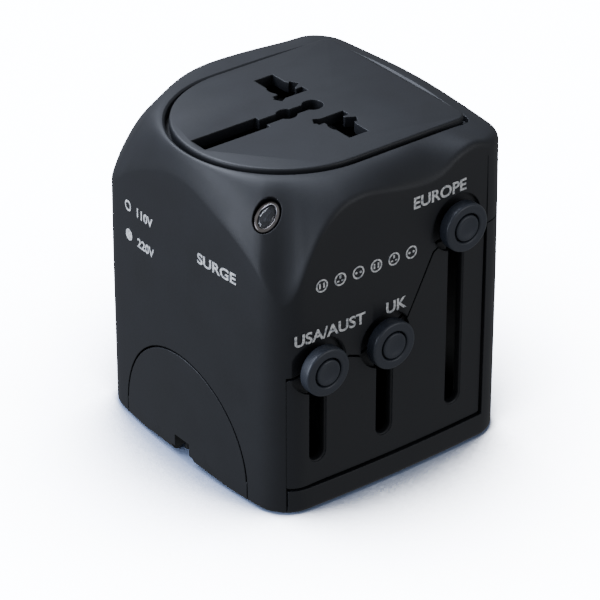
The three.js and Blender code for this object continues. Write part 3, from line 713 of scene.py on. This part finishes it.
# ---- Slider knobs and latch buttons ----
# Round ABS knobs, moulded a shade lighter and smoother than the casing, with a sprung button in the
# middle. The rims are painted lighter in patches: a painted highlight, along with wear from thumbs.

# Its second colour is the lighter rim tone: a painted highlight along with wear.
knob_abs = moulded_plastic(
    "moulded_charcoal_abs", linear("#2A2F38"), linear("#575D67"), 0.5, 0.4, 1.54, 0.2)


def lathe(name, profile, x, z, steps=64):
    """A closed profile of (radius, y) turned about a line along Y through x and z."""
    points, faces, rows = [], [], []
    for radius, y in profile:
        if radius < 1e-6:
            rows.append([len(points)] * steps)
            points.append((x, y, z))
        else:
            rows.append(list(range(len(points), len(points) + steps)))
            for i in range(steps):
                a = 2 * math.pi * i / steps
                points.append((x + radius * math.cos(a), y, z + radius * math.sin(a)))
    for r, here in enumerate(rows):
        after = rows[(r + 1) % len(rows)]
        for i in range(steps):
            j = (i + 1) % steps
            corners = []
            for corner in (here[i], here[j], after[j], after[i]):
                if corner not in corners:
                    corners.append(corner)
            if len(corners) > 2:
                faces.append(tuple(corners))
    return mesh_object(name, points, faces)


KNOB_PROFILE = [
    (3.0, -30.7), (3.0, -32.25), (3.06, -32.42), (3.2, -32.54), (3.4, -32.6), (3.7, -32.56),
    (4.15, -32.56), (4.45, -32.6), (4.7, -32.56), (4.88, -32.44), (4.98, -32.25), (5.0, -32.0),
    (5.0, -30.5), (4.95, -30.25), (4.8, -30.1), (1.4, -30.1), (1.4, -27.5), (1.0, -27.5), (1.0, -30.7),
]
BUTTON_PROFILE = [
    (0, -32.42), (1.0, -32.46), (1.7, -32.55), (2.15, -32.68), (2.4, -32.69), (2.6, -32.6), (2.7, -32.42),
    (2.7, -32.0), (0.7, -32.0), (0.7, -26.3), (1.6, -26.3), (1.6, -25.5), (0.7, -25.5), (0.7, -23.2),
    (0, -23.2),
]
for prefix, (x, top, _) in zip(("us", "uk", "eu"), SLIDERS):
    knob = lathe(f"{prefix}_knob_ring", KNOB_PROFILE, x, top)
    finish_piece(
        knob, f"{prefix}_knob_ring", f"{prefix}_slider", "knob_plastic", knob_abs,
        f"{prefix}_knob", sharp=40)
    button = lathe(f"{prefix}_latch_button", BUTTON_PROFILE, x, top)
    finish_piece(
        button, f"{prefix}_latch_button", f"{prefix}_release", "knob_plastic", knob_abs,
        f"{prefix}_button", sharp=40)


# ---- Indicator window ----
# A polycarbonate oval, polished in the tool and pressed into a vacuum-plated rim on the front left
# shoulder. Its grey tint and a black disc behind it are painted shade that darkens the window's inside.

grey_lens_painted_shade, tree, output = new_material("grey_polycarbonate_painted_shade")
place = add_node(tree, "ShaderNodeTexCoord", {}, {})
ripple = add_node(tree, "ShaderNodeTexNoise", {"Scale": 1 / (1.2 * MM), "Detail": 2.0}, {
    "Vector": place.outputs["Object"]})
flow = add_node(tree, "ShaderNodeBump", {"Strength": 0.12, "Distance": 0.05 * MM}, {
    "Height": ripple.outputs["Fac"]})
haze = add_node(tree, "ShaderNodeMapRange", {"To Min": 0.02, "To Max": 0.09}, {
    "Value": ripple.outputs["Fac"]})
# Painted shade: the grey base colour dims the window, which the clear lens itself would not.
glassy = add_node(tree, "ShaderNodeBsdfPrincipled", {
    "Base Color": linear("#8E9097"), "IOR": 1.585, "Transmission Weight": 0.92,
}, {"Normal": flow.outputs["Normal"], "Roughness": haze.outputs["Result"]})
tree.links.new(glassy.outputs[0], output.inputs["Surface"])


def metal(name, colour, dull, grain_mm, roughness, edge_mm, stretch=(1, 1, 1)):
    """A bare or plated metal: tool marks or tumbling marks, patchy tarnish and edges broken by deburring."""
    made, tree, output = new_material(name)
    place = add_node(tree, "ShaderNodeTexCoord", {}, {})
    along = add_node(tree, "ShaderNodeMapping", {"Scale": stretch}, {"Vector": place.outputs["Object"]})
    marks = add_node(tree, "ShaderNodeTexNoise", {"Scale": 1 / (grain_mm * MM), "Detail": 4.0}, {
        "Vector": along.outputs["Vector"]})
    stain = add_node(tree, "ShaderNodeTexNoise", {"Scale": 1 / (4 * MM), "Detail": 3.0}, {
        "Vector": place.outputs["Object"]})
    tone = add_node(tree, "ShaderNodeMix", {"data_type": "RGBA", 6: colour, 7: dull}, {
        0: stain.outputs["Fac"]})
    shine = add_node(tree, "ShaderNodeMapRange", {"To Min": roughness * 0.7, "To Max": roughness * 1.4}, {
        "Value": marks.outputs["Fac"]})
    soft = add_node(tree, "ShaderNodeBevel", {"samples": 6, "Radius": edge_mm * MM}, {})
    relief = add_node(tree, "ShaderNodeBump", {"Strength": 0.2, "Distance": 0.01 * MM}, {
        "Height": marks.outputs["Fac"], "Normal": soft.outputs["Normal"]})
    surface = add_node(tree, "ShaderNodeBsdfPrincipled", {"Metallic": 1.0}, {
        "Base Color": tone.outputs[2], "Roughness": shine.outputs["Result"],
        "Normal": relief.outputs["Normal"]})
    tree.links.new(surface.outputs[0], output.inputs["Surface"])
    return made


cup_chrome = metal("vacuum_chromed_abs", linear("#C9C2BE"), linear("#6B6766"), 0.6, 0.2, 0.1)
LENS_LONG, LENS_SHORT, RIM_WIDTH, LENS_PLAY = 2.5, 1.5, 0.72, 0.03
window = oval("window", LENS_LONG, LENS_SHORT, [
    (-0.05, -0.9), (0, -0.5), (0, -0.2), (-0.1, 0.1), (-0.3, 0.28), (-0.7, 0.42), (-1.2, 0.49), (-1.7, 0.5)])
finish_piece(window, "oval_window", "casing", "clear_lens", grey_lens_painted_shade, "indicator_lens", sharp=60)
rim = oval("rim", LENS_LONG + RIM_WIDTH, LENS_SHORT + RIM_WIDTH, [
    (0, -2.4), (0, -0.1), (-0.06, 0.1), (-0.2, 0.24), (-0.4, 0.28)])
hollow = oval("cutter", LENS_LONG + LENS_PLAY, LENS_SHORT + LENS_PLAY, [(0, -1.7), (0, 3)])
rim = combine(rim, ("DIFFERENCE", [hollow]))
finish_piece(rim, "oval_window_cup", "casing", "clear_lens", cup_chrome)
# Painted shade: a black disc over the cup's floor darkens the window's inside.
shade = oval("shade", LENS_LONG, LENS_SHORT, [(0, -1.65), (0, -1.35), (-0.1, -1.25), (-0.5, -1.2)])
finish_piece(shade, "oval_window_painted_shade_disc", "casing", "inner_plastic", casing_abs)


# ---- Pad printing ----
# White epoxy ink, printed on the hood before assembly: the name of each slider's standard, the signs
# for the two voltages and the surge lamp, and a row of pin pictures. The ink is a little worn.

INK_RISE, INK_SUNK = 0.035, 0.01
ink, tree, output = new_material("white_pad_ink")
place = add_node(tree, "ShaderNodeTexCoord", {}, {})
thin = add_node(tree, "ShaderNodeTexNoise", {"Scale": 1 / (0.5 * MM), "Detail": 3.0}, {
    "Vector": place.outputs["Object"]})
cover = add_node(tree, "ShaderNodeMapRange", {"From Min": 0.35, "From Max": 0.6}, {
    "Value": thin.outputs["Fac"]})
tone = add_node(tree, "ShaderNodeMix", {"data_type": "RGBA", 6: linear("#9DA1A6"), 7: linear("#F4F4F2")}, {
    0: cover.outputs["Result"]})
film = add_node(tree, "ShaderNodeBump", {"Strength": 0.3, "Distance": 0.01 * MM}, {
    "Height": thin.outputs["Fac"]})
dry = add_node(tree, "ShaderNodeBsdfPrincipled", {"Roughness": 0.5, "IOR": 1.5}, {
    "Base Color": tone.outputs[2], "Normal": film.outputs["Normal"]})
tree.links.new(dry.outputs[0], output.inputs["Surface"])


def lean(z):
    """How far the drafted wall has drawn in at a height."""
    return DRAFT * min(max((z - DRAFT_FROM) / (RIM - DRAFT_FROM), 0), 1) ** 1.5


def print_on(made, name, wall):
    """Lays a flat drawing, drawn in X and Y with its ink in Z, on the front or the left wall."""
    for v in made.data.vertices:
        u, z, rise = v.co
        if wall == "front":
            v.co = (u, front_wall(u, lean(z)) - rise + INK_SUNK, z)
        else:
            v.co = (left_wall(u, lean(z)) - rise + INK_SUNK, -u, z)
    finish_piece(made, name, "casing", "casing_plastic", ink)


def letters(word, left, low, width, height):
    """A word as thin solid letters fitted to a width and a height."""
    curve = bpy.data.curves.new("word", "FONT")
    curve.body, curve.extrude, curve.offset, curve.resolution_u = word, 0.02, 0.022, 4
    holder = bpy.data.objects.new("word", curve)
    bpy.context.scene.collection.objects.link(holder)
    data = bpy.data.meshes.new_from_object(holder.evaluated_get(bpy.context.evaluated_depsgraph_get()))
    bpy.data.objects.remove(holder)
    xs, ys = [v.co.x for v in data.vertices], [v.co.y for v in data.vertices]
    for v in data.vertices:
        v.co = (
            left + (v.co.x - min(xs)) / (max(xs) - min(xs)) * width,
            low + (v.co.y - min(ys)) / (max(ys) - min(ys)) * height,
            INK_RISE if v.co.z > 0 else 0,
        )
    made = bpy.data.objects.new("word", data)
    bpy.context.scene.collection.objects.link(made)
    return made


def ink_shape(outline):
    """A flat outline as a film of ink."""
    return prism("ink", outline, "Z", [(0, 0), (0, INK_RISE)])


def merged(parts):
    """Several shapes of ink as one."""
    return combine(parts[0], ("UNION", parts[1:]))


def bar(x0, x1, z0, z1):
    """A straight-sided mark."""
    return ink_shape([(x0, z0), (x1, z0), (x1, z1), (x0, z1)])


def ring(x, z, radius, line):
    """A round outline drawn with a line of even width."""
    return combine(
        ink_shape(circle(x, z, radius, 40)),
        ("DIFFERENCE", [prism("cutter", circle(x, z, radius - line, 40), "Z", [(0, -1), (0, 1)])]))


LEGENDS = [
    # name, word, wall, left edge, foot, width, height
    ("legend_flat_pins", "USA/AUST", "front", -24.6, 37.6, 16.2, 2.5),
    ("legend_square_pins", "UK", "front", -3.4, 37.6, 4.9, 2.5),
    ("legend_round_pins", "EUROPE", "front", 3.1, 57.8, 13.0, 2.5),
    ("legend_low_voltage", "110V", "left", -14.2, 47.9, 5.6, 2.0),
    ("legend_high_voltage", "220V", "left", -14.2, 41.5, 6.0, 2.0),
    ("legend_surge", "SURGE", "left", 6.0, 47.2, 11.2, 2.3),
]
for name, word, wall, left, low, width, height in LEGENDS:
    print_on(letters(word, left, low, width, height), name, wall)
print_on(ring(-17.6, 48.9, 1.15, 0.4), "lamp_sign_off", "left")
print_on(ink_shape(circle(-17.4, 42.6, 1.2, 40)), "lamp_sign_on", "left")
signs = []
z = 49.0
for i, x in enumerate((-18.4, -14.2, -10.0, -5.8, -1.6, 2.6)):
    signs.append(ring(x, z, 1.35, 0.32))
    if i % 3 == 0:
        signs += [bar(x - 0.65, x - 0.3, z - 0.55, z + 0.55), bar(x + 0.3, x + 0.65, z - 0.55, z + 0.55)]
    elif i % 3 == 1:
        signs += [
            bar(x - 0.2, x + 0.2, z + 0.15, z + 0.8), bar(x - 0.75, x - 0.25, z - 0.5, z - 0.2),
            bar(x + 0.25, x + 0.75, z - 0.5, z - 0.2),
        ]
    else:
        signs += [ink_shape(circle(x - 0.5, z, 0.26, 20)), ink_shape(circle(x + 0.5, z, 0.26, 20))]
print_on(merged(signs), "pin_picture_row", "front")


# ---- Guide ribs ----
# Two nylon walls standing on the tray between the slider columns. They keep the carriages upright and
# stop the daylight that falls through one slot from reaching the next column.

nylon = moulded_plastic("glass_filled_nylon", linear("#0E0F11"), linear("#2A2D30"), 0.3, 0.55, 1.53, 0.2)
RIB_FRONT, RIB_BACK, RIB_FOOT, RIB_TOP, RIB_THICK = -26.6, -8.0, 2.6, 43.0, 1.2
for name, x in (("guide_rib_left", -11.5), ("guide_rib_right", 3.6)):
    far = x + RIB_THICK
    rib = prism("rib", [(x, RIB_FRONT), (far, RIB_FRONT), (far, RIB_BACK), (x, RIB_BACK)], "Z", [
        (0, RIB_FOOT), (0, RIB_TOP - 0.4), (-0.12, RIB_TOP - 0.12), (-0.4, RIB_TOP)])
    finish_piece(rib, name, "casing", "inner_plastic", nylon)


# ---- Pins, carriages and works ----
# Plated and bare brass pins riveted into glass-filled nylon carriages, with pressed bronze contacts and
# bus bars, a laminate board with the surge parts, and zinc-plated screws and hinge pins behind them.

pin_nickel = metal(
    "nickel_plated_brass", linear("#C9C7C0"), linear("#A5A199"), 0.35, 0.22, 0.15, (1, 1, 0.25))
pin_brass = metal("machined_brass", linear("#D8B368"), linear("#B48A45"), 0.3, 0.28, 0.15, (1, 1, 0.3))
contact_bronze = metal(
    "pressed_phosphor_bronze", linear("#C89660"), linear("#93683C"), 0.4, 0.35, 0.1, (0.3, 1, 1))
zinc_steel = metal("zinc_plated_steel", linear("#B9BDBE"), linear("#8A8F91"), 0.25, 0.3, 0.1)
laminate = moulded_plastic("glass_epoxy_laminate", linear("#174A2C"), linear("#5B7A4E"), 0.5, 0.45, 1.55, 0.1)
epoxy = moulded_plastic("blue_dipped_epoxy", linear("#173F7A"), linear("#2F5C9C"), 0.9, 0.3, 1.55, 0.3)

FINISHES = [
    (nylon, ["contact_chassis", "socket_shutter", "us_carriage", "uk_carriage", "eu_neck"]),
    (casing_abs, ["earth_pin", "uk_pin_sleeve_front", "uk_pin_sleeve_back"]),
    (pin_nickel, ["us_blade_front", "us_blade_back", "thermal_fuse"]),
    (pin_brass, ["uk_pin_front", "uk_pin_back"]),
    (contact_bronze, ["line_socket_contact", "neutral_socket_contact", "line_bus_bar", "neutral_bus_bar"]),
    (zinc_steel, [
        "casing_screw_1", "casing_screw_2", "casing_screw_3", "casing_screw_4", "earth_pin_axle",
        "flap_hinge_pin_front", "flap_hinge_pin_back",
    ]),
    (laminate, ["surge_board"]),
    (epoxy, ["surge_varistor"]),
    (grey_lens_painted_shade, ["indicator_led"]),
]
for finish, names in FINISHES:
    for name in names:
        node = nodes[name]
        node.data.materials.clear()
        node.data.materials.append(finish)

BROKEN_EDGES = {
    "us_blade_front": 0.35, "us_blade_back": 0.35, "uk_pin_front": 0.5, "uk_pin_back": 0.5,
    "earth_pin": 0.45, "uk_pin_sleeve_front": 0.25, "uk_pin_sleeve_back": 0.25, "eu_neck": 0.4,
    "us_carriage": 0.3, "uk_carriage": 0.3,
}
WELD_REACH = 0.002
for name, width in BROKEN_EDGES.items():
    node = nodes[name]
    weld = node.modifiers.new("closed", "WELD")
    weld.merge_threshold = WELD_REACH * MM
    edge = node.modifiers.new("broken_edge", "BEVEL")
    edge.width, edge.segments, edge.limit_method = width * MM, 2, "ANGLE"
    edge.angle_limit = math.radians(35)

EU_PIN_PROFILE = [
    (0, 0.9), (0.9, 0.94), (1.35, 1.15), (1.75, 1.6), (1.94, 2.1), (2.0, 2.7), (2.0, 9.7), (1.25, 9.7),
    (1.25, 27.0), (0, 27.0),
]
EU_SLEEVE_PROFILE = [(1.55, 10.0), (1.9, 10.0), (2.0, 10.12), (2.0, 19.5), (1.9, 19.7), (1.55, 19.7)]
EU_PIN_AT = 9.5
for place_name, y in (("front", -EU_PIN_AT), ("back", EU_PIN_AT)):
    for piece_name, profile, slot_name, material, node_name in (
        (f"round_pin_{place_name}", EU_PIN_PROFILE, "pin_nickel", pin_nickel, f"eu_pin_{place_name}"),
        (f"round_pin_sleeve_{place_name}", EU_SLEEVE_PROFILE, "casing_plastic", casing_abs,
         f"eu_pin_sleeve_{place_name}"),
    ):
        turned = lathe(piece_name, profile, 0, 0, 40)
        upright = Matrix.Rotation(math.radians(90), 4, "X")
        turned.data.transform(Matrix.Translation((EU_X, y, 0)) @ upright)
        finish_piece(turned, piece_name, "eu_slider", slot_name, material, node_name, sharp=40)


# ---- Springs ----
# Music-wire compression springs with closed ends: one behind each latch button, and a longer one that
# pushes the shutter shut.

spring_steel = metal("oiled_music_wire", linear("#8B8E92"), linear("#5C5E61"), 0.2, 0.3, 0.05)
WIRE_SIDES, TURN_STEPS = 8, 24


def coil_spring(name, radius, wire, turns, length):
    """A spring standing on the XY plane, its wire swept round a helix with closed end turns."""
    steps = round((turns + 1) * TURN_STEPS)
    rings = []
    for i in range(steps + 1):
        angle = 2 * math.pi * i / TURN_STEPS
        climb = min(max((i / TURN_STEPS - 0.5) / turns, 0), 1)
        z = wire + (length - 2 * wire) * climb
        outward = Vector((math.cos(angle), math.sin(angle), 0))
        ring_points = []
        for k in range(WIRE_SIDES):
            a = 2 * math.pi * k / WIRE_SIDES
            height = Vector((0, 0, z + wire * math.sin(a)))
            ring_points.append(outward * (radius + wire * math.cos(a)) + height)
        rings.append(ring_points)
    return loft(name, rings)


BUTTON_SPRING = {"radius": 1.3, "wire": 0.2, "turns": 4, "length": 4.5}
SPRING_SEAT, BUTTON_TRAVEL = -20.8, 1.2
for prefix, (x, top, _) in zip(("us", "uk", "eu"), SLIDERS):
    spring = coil_spring("spring", **BUTTON_SPRING)
    seat = Matrix.Translation((x, SPRING_SEAT, top)) @ Matrix.Rotation(math.radians(90), 4, "X")
    spring.data.transform(seat)
    finish_piece(
        spring, f"{prefix}_latch_spring", f"{prefix}_slider", "screw_steel", spring_steel,
        f"{prefix}_button_spring", sharp=60)
    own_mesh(spring)

SHUTTER_SPRING = {"radius": 1.25, "wire": 0.22, "turns": 5, "length": 11.2}
SHUTTER_FACE, SHUTTER_Z, SHUTTER_TRAVEL = 6.2, 62.6, 8.4
spring = coil_spring("spring", **SHUTTER_SPRING)
lying = Matrix.Rotation(math.radians(90), 4, "Y")
spring.data.transform(Matrix.Translation((SHUTTER_FACE, 0, SHUTTER_Z)) @ lying)
finish_piece(
    spring, "shutter_return_spring", "shutter", "screw_steel", spring_steel, "shutter_spring", sharp=60)
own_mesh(spring)
